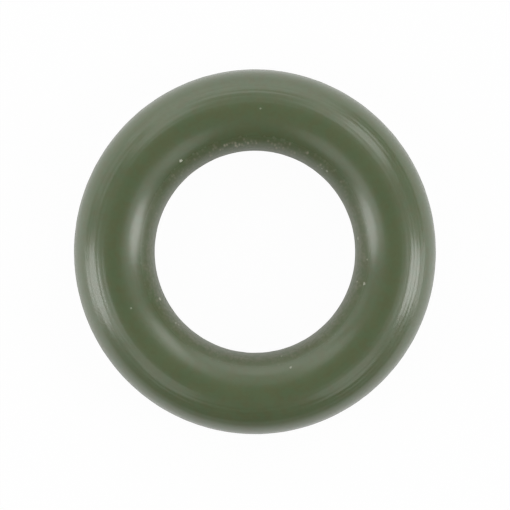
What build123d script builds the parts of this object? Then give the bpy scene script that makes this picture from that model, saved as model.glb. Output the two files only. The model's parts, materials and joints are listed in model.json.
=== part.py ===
# O-ring of round section, moulded in one piece from green rubber.
# The ring lies flat with its axis on Z and its centre at the origin, so the joint
# between the two halves of its mould is the plane z = 0.

import os

from build123d import *

# Driving dimensions, in millimetres
bore_diameter = 5.0  # inside diameter of the relaxed ring, to the round of its section
section_diameter = 2.0  # thickness of the rubber
parting_bead_width = 0.10  # of the line that the mould's joint leaves, along the ring's axis
parting_bead_height = 0.02  # how far that line stands proud of the round section

# Sizes that follow from them
section_radius = section_diameter / 2
mean_radius = (bore_diameter + section_diameter) / 2
across_beads = section_diameter + 2 * parting_bead_height
bead_edge_radius = parting_bead_height / 4

# The section is a disc with a low, flat-topped bead at each end of its level diameter.
# One bead runs round the bore and one round the outside, where the mould's halves met
# and the flash was tumbled off, which also rounds each bead's edges and softens its root.
with BuildPart() as o_ring:
    with BuildSketch(Plane.XZ) as section:
        with Locations((mean_radius, 0)):
            Circle(section_radius)
            Rectangle(across_beads, parting_bead_width)
        fillet(section.vertices(), bead_edge_radius)
    revolve(axis=Axis.Z)

o_ring.part.label = "o_ring"

os.makedirs("parts", exist_ok=True)
export_step(o_ring.part, "parts/o_ring.step")
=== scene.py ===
import json
import math

import bpy
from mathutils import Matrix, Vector, noise


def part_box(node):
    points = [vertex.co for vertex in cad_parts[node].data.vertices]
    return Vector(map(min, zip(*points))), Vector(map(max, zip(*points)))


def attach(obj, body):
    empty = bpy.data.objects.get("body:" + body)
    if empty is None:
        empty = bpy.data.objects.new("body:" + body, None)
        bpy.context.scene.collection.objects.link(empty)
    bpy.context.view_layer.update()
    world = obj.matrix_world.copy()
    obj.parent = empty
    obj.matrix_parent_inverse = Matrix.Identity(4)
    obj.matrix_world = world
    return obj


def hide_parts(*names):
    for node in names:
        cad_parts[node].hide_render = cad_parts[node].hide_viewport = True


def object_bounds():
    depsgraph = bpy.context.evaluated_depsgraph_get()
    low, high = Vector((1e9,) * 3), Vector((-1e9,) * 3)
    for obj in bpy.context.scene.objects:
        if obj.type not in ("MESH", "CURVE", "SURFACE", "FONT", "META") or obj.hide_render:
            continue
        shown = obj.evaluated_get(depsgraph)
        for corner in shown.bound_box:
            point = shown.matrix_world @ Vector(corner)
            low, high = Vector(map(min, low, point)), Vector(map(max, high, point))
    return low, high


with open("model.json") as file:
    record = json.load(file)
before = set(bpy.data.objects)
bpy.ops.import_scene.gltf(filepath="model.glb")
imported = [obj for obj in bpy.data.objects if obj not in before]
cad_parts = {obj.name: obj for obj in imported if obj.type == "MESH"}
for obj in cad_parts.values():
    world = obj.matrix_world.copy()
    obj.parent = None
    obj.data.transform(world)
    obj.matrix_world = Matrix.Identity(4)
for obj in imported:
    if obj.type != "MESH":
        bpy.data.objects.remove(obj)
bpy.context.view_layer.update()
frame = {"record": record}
bpy.context.scene.view_settings.view_transform = "Standard"


# The ring: one piece of green fluorocarbon rubber, moulded between two turned steel halves.
# The halves met at mid height, and their joint left a low bead round the bore and the outside.
# Nothing fixes it: it lies flat under its own weight.
mm = 0.001
mounts = {mount["name"]: mount["dims"] for mount in frame["record"]["mounts"]}
bore_bead_radius = mounts["bore"]["r_mm"]
outer_bead_radius = mounts["outside"]["r_mm"]
mean_radius = (outer_bead_radius + bore_bead_radius) / 2
section_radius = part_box("o_ring")[1].z / mm
bead_height = (outer_bead_radius - bore_bead_radius) / 2 - section_radius
relaxed_width = 0.992  # across, as a share of its length up the picture: it lies a little oval

section_points = 188
bead_points = 3  # sides of the section that the bead's width takes up
half_side = math.pi / section_points
steps_round = 380
weld_distance = 0.001
smooth_angle = math.radians(50)

# The section is a circle, turned half a side so that a flat side stands at mid height.
bpy.ops.object.select_all(action="DESELECT")
bpy.ops.mesh.primitive_circle_add(
    vertices=section_points,
    radius=section_radius,
    location=(mean_radius, 0, 0),
    rotation=(math.pi / 2, half_side, 0),
)
ring = bpy.context.object
ring.name = "ring"
bpy.ops.object.transform_apply(location=True, rotation=True, scale=True)

# Its outer shoulders, above and below, get more points for the grooves that they carry.
shoulder_start = math.radians(7)
shoulder_end = math.radians(52)


def lean(outward, height):
    """The angle across the section: 0 at its top and bottom, a quarter turn at the outside."""
    return math.atan2(outward, abs(height))


bpy.ops.object.mode_set(mode="EDIT")
bpy.ops.mesh.select_mode(type="EDGE")
bpy.ops.mesh.select_all(action="DESELECT")
bpy.ops.object.mode_set(mode="OBJECT")
for edge in ring.data.edges:
    ends = [ring.data.vertices[index].co for index in edge.vertices]
    leans = [lean(end.x - mean_radius, end.z) for end in ends]
    edge.select = min(leans) > shoulder_start and max(leans) < shoulder_end
bpy.ops.object.mode_set(mode="EDIT")
bpy.ops.mesh.subdivide(number_cuts=1)
bpy.ops.mesh.select_all(action="SELECT")
bpy.ops.mesh.spin(steps=steps_round, angle=2 * math.pi, center=(0, 0, 0), axis=(0, 0, 1))
bpy.ops.mesh.select_all(action="SELECT")
bpy.ops.mesh.remove_doubles(threshold=weld_distance)
bpy.ops.mesh.normals_make_consistent(inside=False)
bpy.ops.object.mode_set(mode="OBJECT")

# The turned mould left shallow grooves on the shoulders, a little uneven along the ring and with
# rounded crests between them. The tool's axis stood slightly off the ring's, to the left.
groove_pitch = 0.1217
first_crest_radius = 3.676
tool_centre = Vector((-0.055, -0.022, 0))
groove_depth = 0.0052
grooves_deepen = math.radians(20)  # the angle over which they reach their full depth
grooves_fade = math.radians(8)  # the angle over which they end, further out
usual_evenness = 0.7
evenness_spread = 0.5
evenness_by_radius = 6  # how much faster it changes from groove to groove than along one
for point in ring.data.vertices:
    from_axis = Vector((point.co.x, point.co.y, 0))
    middle = mean_radius * from_axis.normalized()
    angle = lean(from_axis.length - mean_radius, point.co.z)
    share = min((angle - shoulder_start) / grooves_deepen, (shoulder_end - angle) / grooves_fade)
    turns = ((from_axis - tool_centre).length - first_crest_radius) / groove_pitch
    groove = 1 - abs(math.cos(math.pi * max(turns, 0)))
    spot = Vector((point.co.x, point.co.y, evenness_by_radius * from_axis.length))
    evenness = usual_evenness + evenness_spread * noise.noise(spot)
    sunk = groove_depth * groove * evenness * min(max(share, 0), 1)
    point.co = middle + (section_radius - sunk) * (point.co - middle).normalized()

# The bands of faces at mid height are inset and raised into the bead, and its rims are rounded.
bead_left = 0.5  # share of its height that trimming left, where it is tallest
bead_flank = bead_height / 4
bead_rim = bead_height / 8
bead_half_width = section_radius * math.sin(bead_points * half_side)
bpy.ops.object.mode_set(mode="EDIT")
bpy.ops.mesh.select_mode(type="FACE")
bpy.ops.mesh.select_all(action="DESELECT")
bpy.ops.object.mode_set(mode="OBJECT")
for face in ring.data.polygons:
    face.select = abs(face.center.z) < bead_half_width
bpy.ops.object.mode_set(mode="EDIT")
bpy.ops.mesh.inset(thickness=bead_flank, depth=bead_left * bead_height, use_even_offset=False)
bpy.ops.object.mode_set(mode="OBJECT")
crest = ring.vertex_groups.new(name="bead_crest")
crest.add([v.index for v in ring.data.vertices if v.select], 1.0, "REPLACE")
bpy.ops.object.mode_set(mode="EDIT")
bpy.ops.mesh.region_to_loop()
bpy.ops.mesh.bevel(offset=bead_rim, segments=2, affect="EDGES")
bpy.ops.object.mode_set(mode="OBJECT")

# Tumbling wore the bead down unevenly, and the rubber shrank a little unevenly as it cooled.
worn_share = 0.7  # of what trimming left of the bead
worn_depth = worn_share * bead_left * bead_height
shrinkage_depth = 0.0015
worn = bpy.data.textures.new("worn_bead", "CLOUDS")
worn.noise_scale = 0.25
uneven = bpy.data.textures.new("uneven_shrinkage", "CLOUDS")
uneven.noise_scale = 1.6
for texture, depth, group in ((worn, worn_depth, crest.name), (uneven, shrinkage_depth, "")):
    shape = ring.modifiers.new(texture.name, "DISPLACE")
    shape.texture = texture
    shape.texture_coords = "LOCAL"
    shape.mid_level = 1.0
    shape.strength = depth
    shape.vertex_group = group
    bpy.ops.object.modifier_apply(modifier=shape.name)

bpy.ops.object.mode_set(mode="EDIT")
bpy.ops.mesh.select_all(action="SELECT")
bpy.ops.transform.resize(value=(relaxed_width * mm, mm, mm), center_override=(0, 0, 0))
bpy.ops.object.mode_set(mode="OBJECT")
bpy.ops.object.shade_smooth_by_angle(angle=smooth_angle)

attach(ring, "root")
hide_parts("o_ring")


def calc(tree, operation, *terms):
    """A Math node on sockets or plain numbers, and its result."""
    node = tree.nodes.new("ShaderNodeMath")
    node.operation = operation
    for socket, term in zip(node.inputs, terms):
        if isinstance(term, (int, float)):
            socket.default_value = term
        else:
            tree.links.new(term, socket)
    return node.outputs[0]


def ease(tree, value, start, end):
    """Rises smoothly from 0 where the value is at start to 1 where it is at end."""
    node = tree.nodes.new("ShaderNodeMapRange")
    node.interpolation_type = "SMOOTHSTEP"
    tree.links.new(value, node.inputs["Value"])
    node.inputs["From Min"].default_value = start
    node.inputs["From Max"].default_value = end
    return node.outputs["Result"]


def vector(tree, x, y, z):
    """A vector from three sockets or plain numbers."""
    node = tree.nodes.new("ShaderNodeCombineXYZ")
    for socket, term in zip(node.inputs, (x, y, z)):
        if isinstance(term, (int, float)):
            socket.default_value = term
        else:
            tree.links.new(term, socket)
    return node.outputs[0]


def cloud(tree, place, scale, detail=2.0):
    """Smooth noise from 0 to 1 with features about 1 / scale across."""
    node = tree.nodes.new("ShaderNodeTexNoise")
    tree.links.new(place, node.inputs["Vector"])
    node.inputs["Scale"].default_value = scale
    node.inputs["Detail"].default_value = detail
    return node.outputs["Fac"]


def blend_colour(tree, amount, first, second):
    """From the first colour to the second as amount goes from 0 to 1."""
    node = tree.nodes.new("ShaderNodeMix")
    node.data_type = "RGBA"
    tree.links.new(amount, node.inputs["Factor"])
    for socket, colour in ((node.inputs[6], first), (node.inputs[7], second)):
        if isinstance(colour, tuple):
            socket.default_value = (*colour, 1.0)
        else:
            tree.links.new(colour, socket)
    return node.outputs[2]


rubber = bpy.data.materials.new("green_rubber")
rubber.use_nodes = True
tree = rubber.node_tree
shader = tree.nodes["Principled BSDF"]

# Where a point is on the ring, in millimetres: its radius, its height, and the angle across the
# section, which is 0 on top, a quarter turn at the outside and minus that in the bore.
coordinates = tree.nodes.new("ShaderNodeTexCoord")
rounded = tree.nodes.new("ShaderNodeVectorMath")
rounded.operation = "MULTIPLY"
rounded.inputs[1].default_value = (1 / (relaxed_width * mm), 1 / mm, 1 / mm)
tree.links.new(coordinates.outputs["Object"], rounded.inputs[0])
place = rounded.outputs[0]
split = tree.nodes.new("ShaderNodeSeparateXYZ")
tree.links.new(place, split.inputs[0])
x, y, z = split.outputs
squares = calc(tree, "ADD", calc(tree, "MULTIPLY", x, x), calc(tree, "MULTIPLY", y, y))
radius = calc(tree, "SQRT", squares)
outward = calc(tree, "SUBTRACT", radius, mean_radius)
across = calc(tree, "ARCTAN2", outward, z)
from_top = calc(tree, "ARCTAN2", outward, calc(tree, "ABSOLUTE", z))
round_x = calc(tree, "DIVIDE", x, radius)
round_y = calc(tree, "DIVIDE", y, radius)

# Grains of dust lie on the upper side. The group draws one grain with a ragged edge,
# and each use of it has its own place, size and paleness.
raggedness = 30.0
grain_edge = (1.15, 0.7)
grain_group = bpy.data.node_groups.new("dust_grain", "ShaderNodeTree")
grain_group.interface.new_socket("Place", in_out="INPUT", socket_type="NodeSocketVector")
grain_group.interface.new_socket("Centre", in_out="INPUT", socket_type="NodeSocketVector")
grain_group.interface.new_socket("Size", in_out="INPUT", socket_type="NodeSocketFloat")
grain_group.interface.new_socket("Paleness", in_out="INPUT", socket_type="NodeSocketFloat")
grain_group.interface.new_socket("Mask", in_out="OUTPUT", socket_type="NodeSocketFloat")
group_in = grain_group.nodes.new("NodeGroupInput")
group_out = grain_group.nodes.new("NodeGroupOutput")
apart = grain_group.nodes.new("ShaderNodeVectorMath")
apart.operation = "DISTANCE"
grain_group.links.new(group_in.outputs["Place"], apart.inputs[0])
grain_group.links.new(group_in.outputs["Centre"], apart.inputs[1])
grain_reach = calc(grain_group, "DIVIDE", apart.outputs["Value"], group_in.outputs["Size"])
wander = cloud(grain_group, group_in.outputs["Place"], raggedness)
ragged = calc(grain_group, "ADD", grain_reach, wander)
inside_grain = ease(grain_group, ragged, *grain_edge)
grain_mask = calc(grain_group, "MULTIPLY", inside_grain, group_in.outputs["Paleness"])
grain_group.links.new(grain_mask, group_out.inputs["Mask"])

# Each grain's angle round the ring from the right, its distance from the axis, its size
# and its paleness.
grains = (
    (129.4, 2.890, 0.080, 0.90),
    (343.8, 2.820, 0.075, 0.50),
    (343.8, 2.640, 0.045, 0.45),
    (87.7, 3.520, 0.050, 0.27),
    (204.3, 3.360, 0.050, 0.25),
    (206.2, 2.625, 0.080, 0.60),
    (221.8, 2.630, 0.060, 0.50),
    (223.6, 2.610, 0.045, 0.50),
    (7.3, 2.580, 0.075, 0.55),
    (287.3, 2.975, 0.060, 0.60),
    (284.5, 2.650, 0.050, 0.45),
    (356.0, 2.790, 0.050, 0.35),
    (48.0, 2.670, 0.065, 0.55),
    (51.0, 2.640, 0.045, 0.45),
)
dust = None
for angle, distance, size, paleness in grains:
    turn = math.radians(angle)
    height = math.sqrt(section_radius ** 2 - (distance - mean_radius) ** 2)
    grain_node = tree.nodes.new("ShaderNodeGroup")
    grain_node.node_tree = grain_group
    centre = (distance * math.cos(turn), distance * math.sin(turn), height)
    grain_node.inputs["Centre"].default_value = centre
    grain_node.inputs["Size"].default_value = size
    grain_node.inputs["Paleness"].default_value = paleness
    tree.links.new(place, grain_node.inputs["Place"])
    mask = grain_node.outputs["Mask"]
    dust = calc(tree, "MAXIMUM", dust, mask) if dust else mask

# Trimming roughened the bore wall. Pale specks lie along its edges, thickest on the far side.
speck_edge = (math.radians(-37), math.radians(-52))
speck_size = (0.52, 0.18)
specks_round = 34.0
specks_across = 6.0
far_side_span = (0.5, 0.92)
specks_elsewhere = 0.25  # as a share of those on the far side
near_bore = ease(tree, from_top, *speck_edge)
far_side = calc(tree, "MULTIPLY", ease(tree, round_y, *far_side_span), 1 - specks_elsewhere)
speck_share = calc(tree, "ADD", far_side, specks_elsewhere)
speck_cells = tree.nodes.new("ShaderNodeTexVoronoi")
speck_cells.inputs["Scale"].default_value = 1.0
speck_x = calc(tree, "MULTIPLY", round_x, specks_round)
speck_y = calc(tree, "MULTIPLY", round_y, specks_round)
speck_up = calc(tree, "MULTIPLY", across, specks_across)
tree.links.new(vector(tree, speck_x, speck_y, speck_up), speck_cells.inputs["Vector"])
speck_spots = ease(tree, speck_cells.outputs["Distance"], *speck_size)
patchy = ease(tree, cloud(tree, place, 3.0), 0.35, 0.65)
speck_band = calc(tree, "MULTIPLY", near_bore, calc(tree, "MULTIPLY", speck_share, patchy))
specks = calc(tree, "MULTIPLY", speck_spots, speck_band)

# The wall itself is mottled with scuffs. Their paler colour is partly painted reflection, and their
# thinning on the far side is painted shade.
wall_edge = (math.radians(-38), math.radians(-60))
far_side_shade_span = (-0.2, 0.7)
far_side_shade_depth = 0.6
in_bore = ease(tree, from_top, *wall_edge)
mottle = ease(tree, cloud(tree, place, 11.0, 3.0), 0.35, 0.65)
far_side_shade = calc(tree, "MULTIPLY", ease(tree, round_y, *far_side_shade_span), far_side_shade_depth)
scuff_and_sheen_share = calc(tree, "MULTIPLY", in_bore, calc(tree, "SUBTRACT", 1.0, far_side_shade))
scuffs_and_sheen = calc(tree, "MULTIPLY", scuff_and_sheen_share, mottle)

# Dust, specks and scuffs stand a little proud, and the skin is very finely grained all over.
dust_height = 0.012
speck_height = 0.004
scuff_height = 0.003
grain_height = 0.0006
grain = calc(tree, "MULTIPLY", cloud(tree, place, 22.0, 3.0), grain_height)
dust_rise = calc(tree, "MULTIPLY", dust, dust_height)
speck_rise = calc(tree, "MULTIPLY", specks, speck_height)
scuff_rise = calc(tree, "MULTIPLY", scuffs_and_sheen, scuff_height)
loose_rise = calc(tree, "ADD", dust_rise, speck_rise)
rises = calc(tree, "ADD", loose_rise, calc(tree, "ADD", scuff_rise, grain))
bump = tree.nodes.new("ShaderNodeBump")
bump.inputs["Strength"].default_value = 1.0
bump.inputs["Distance"].default_value = 1.0
tree.links.new(calc(tree, "MULTIPLY", rises, mm), bump.inputs["Height"])
tree.links.new(bump.outputs["Normal"], shader.inputs["Normal"])

# The mould polished the outer half. The inner half is duller, the bore duller again, and dust
# and specks are matt.
polished_span = (math.radians(-14), math.radians(10))
inner_roughness = 0.25
polish = 0.05
bore_dulling = 0.10
matt_dulling = 0.4
polished = ease(tree, from_top, *polished_span)
rubber_roughness = calc(tree, "SUBTRACT", inner_roughness, calc(tree, "MULTIPLY", polished, polish))
bore_roughness = calc(tree, "ADD", rubber_roughness, calc(tree, "MULTIPLY", near_bore, bore_dulling))
matt = calc(tree, "MULTIPLY", calc(tree, "MAXIMUM", dust, specks), matt_dulling)
tree.links.new(calc(tree, "ADD", bore_roughness, matt), shader.inputs["Roughness"])

# Olive green, uneven as pigment and filler are: some patches bluer, some patches and flecks lighter.
olive = (0.0648, 0.0828, 0.0222)
blue_olive = (0.0558, 0.0922, 0.0284)
light_olive = (0.0739, 0.1030, 0.0337)
# The scuff colour is partly real scuffing and partly painted reflection on the bore wall.
scuff_and_sheen_colour = (0.140, 0.142, 0.092)
speck_colour = (0.25, 0.24, 0.165)
dust_colour = (0.60, 0.61, 0.49)
pigment_strength = 0.4
fleck_strength = 0.25
scuff_and_sheen_strength = 0.62
patches = ease(tree, cloud(tree, place, 4.5, 3.0), 0.35, 0.65)
pigment = ease(tree, cloud(tree, place, 1.3, 5.0), 0.3, 0.7)
flecks = ease(tree, cloud(tree, place, 9.0), 0.3, 0.7)
pigment_share = calc(tree, "MULTIPLY", pigment, pigment_strength)
lightness = calc(tree, "ADD", pigment_share, calc(tree, "MULTIPLY", flecks, fleck_strength))
green = blend_colour(tree, patches, olive, blue_olive)
rubber_colour = blend_colour(tree, lightness, green, light_olive)
# Scuffs paint a paler bore wall as painted reflection, and less of it on the far side as painted
# shade.
scuff_and_sheen_amount = calc(tree, "MULTIPLY", scuffs_and_sheen, scuff_and_sheen_strength)
scuffed_and_sheen_colour = blend_colour(tree, scuff_and_sheen_amount, rubber_colour, scuff_and_sheen_colour)
specked_colour = blend_colour(tree, specks, scuffed_and_sheen_colour, speck_colour)
dusted_colour = blend_colour(tree, dust, specked_colour, dust_colour)
tree.links.new(dusted_colour, shader.inputs["Base Color"])
shader.inputs["IOR"].default_value = 1.5

# A thin waxy bloom lies over it and spreads each highlight.
shader.inputs["Coat Weight"].default_value = 1.0
shader.inputs["Coat Roughness"].default_value = 0.50
shader.inputs["Coat IOR"].default_value = 1.55
ring.data.materials.append(rubber)


# The table: a white sheet under the ring, wide enough to fill the view from any side.
# The camera, and what shines, see it nearly white, and it keeps the ring's soft shadow.
# In the ring's own shine it dims close by, where the ring shades it. Its front is painted grey as
# painted shade, and it dims in that shine too.
table_half_width = 0.7
table_white = (0.9, 0.9, 0.9)
painted_front_shade = (0.6, 0.6, 0.6)
front_shade_span = (-10.0 * mm, -6.0 * mm)
shaded_span = (4.5 * mm, 8.5 * mm)
seen_white = 0.97
shine_close_by = 0.2
shine_gain = 0.75  # what is added to that clear of the ring
bpy.ops.object.select_all(action="DESELECT")
bpy.ops.mesh.primitive_plane_add(size=2 * table_half_width, location=(0, 0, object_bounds()[0].z))
table = bpy.context.object
table.name = "table"

white = bpy.data.materials.new("white_table")
white.use_nodes = True
tree = white.node_tree
sheet = tree.nodes["Principled BSDF"]
table_place = tree.nodes.new("ShaderNodeTexCoord")
table_split = tree.nodes.new("ShaderNodeSeparateXYZ")
tree.links.new(table_place.outputs["Object"], table_split.inputs[0])
# The grey front of the sheet is painted shade. It also dims the sheet there in the ring's shine.
clear_of_front_shade = ease(tree, table_split.outputs["Y"], *front_shade_span)
from_ring = tree.nodes.new("ShaderNodeVectorMath")
from_ring.operation = "LENGTH"
tree.links.new(table_place.outputs["Object"], from_ring.inputs[0])
clear_of_ring = ease(tree, from_ring.outputs["Value"], *shaded_span)
sheet_colour = blend_colour(tree, clear_of_front_shade, painted_front_shade, table_white)
tree.links.new(sheet_colour, sheet.inputs["Base Color"])
sheet.inputs["Roughness"].default_value = 0.2
glow = tree.nodes.new("ShaderNodeEmission")
rays = tree.nodes.new("ShaderNodeLightPath")
seen = calc(tree, "MULTIPLY", rays.outputs["Is Camera Ray"], seen_white)
shone = calc(tree, "MAXIMUM", rays.outputs["Is Glossy Ray"], rays.outputs["Is Transmission Ray"])
mirrored = calc(tree, "ADD", calc(tree, "MULTIPLY", clear_of_ring, shine_gain), shine_close_by)
lit = calc(tree, "MULTIPLY", mirrored, clear_of_front_shade)
share = calc(tree, "MAXIMUM", seen, calc(tree, "MULTIPLY", shone, lit))
mix = tree.nodes.new("ShaderNodeMixShader")
tree.links.new(share, mix.inputs[0])
tree.links.new(sheet.outputs[0], mix.inputs[1])
tree.links.new(glow.outputs[0], mix.inputs[2])
tree.links.new(mix.outputs[0], tree.nodes["Material Output"].inputs["Surface"])
table.data.materials.append(white)


# The studio: soft boxes round the table, and a tall white panel beyond it.
# Azimuth runs from the picture's right towards its top, and tilt down from straight overhead.
lamp_distance = 0.4
room_light = 0.2


def soft_box(name, azimuth, tilt, width, height, brightness):
    """An oval lamp facing the ring. Angles are in degrees, width and height as the ring sees them."""
    turn = math.radians(azimuth)
    drop = math.radians(tilt)
    level = Vector((math.cos(turn), math.sin(turn), 0))
    towards = math.sin(drop) * level + Vector((0, 0, math.cos(drop)))
    bpy.ops.object.light_add(type="AREA", location=lamp_distance * towards)
    box = bpy.context.object
    box.name = name
    box.rotation_euler = towards.to_track_quat("Z", "Y").to_euler()
    lamp = box.data
    lamp.shape = "ELLIPSE"
    lamp.size = 2 * lamp_distance * math.tan(math.radians(width) / 2)
    lamp.size_y = 2 * lamp_distance * math.tan(math.radians(height) / 2)
    oval_area = lamp.size * lamp.size_y * math.pi / 4
    lamp.energy = brightness * math.pi * oval_area


soft_box("right_box", -10, 60, 24, 32, 5.7)
soft_box("right_upper_box", -13, 37, 22, 28, 1.05)
soft_box("right_glow", -9, 86, 28, 13, 2.9)
soft_box("left_box", 192, 68, 28, 31, 4.4)
soft_box("left_upper_box", 198, 46, 24, 32, 1.6)
soft_box("left_glow", 191, 88, 28, 10, 3.1)
soft_box("upper_right_box", 44, 54, 15, 26, 2.1)
soft_box("upper_right_halo", 44, 51, 20, 50, 1.1)
soft_box("upper_right_fill", 61, 47, 18, 32, 0.7)
soft_box("upper_left_box", 127, 46, 22, 30, 1.25)
soft_box("side_panel", 150, 74, 28, 34, 0.8)
soft_box("lower_left_box", 233, 47, 22, 36, 1.15)
soft_box("lower_right_box", 307, 49, 21, 40, 1.25)
soft_box("far_panel", 97, 74, 85, 38, 1.25)
soft_box("far_panel_top", 97, 43, 62, 42, 0.36)

world = bpy.data.worlds.new("studio")
world.use_nodes = True
world.node_tree.nodes["Background"].inputs["Color"].default_value = (1, 1, 1, 1)
world.node_tree.nodes["Background"].inputs["Strength"].default_value = room_light
bpy.context.scene.world = world


# The camera: a long macro lens straight above the ring, whose frame takes in 12.6 mm each way.
frame_width = 12.60
camera_height = 150
lens = 100
aim = (0.002, -0.080)
camera_place = (aim[0] * mm, aim[1] * mm, camera_height * mm)
bpy.ops.object.camera_add(location=camera_place, rotation=(0, 0, 0))
camera = bpy.context.object
camera.data.lens = lens
camera.data.sensor_width = frame_width * lens / camera_height
camera.data.clip_start = 0.01
camera.data.clip_end = 2.0
bpy.context.scene.camera = camera
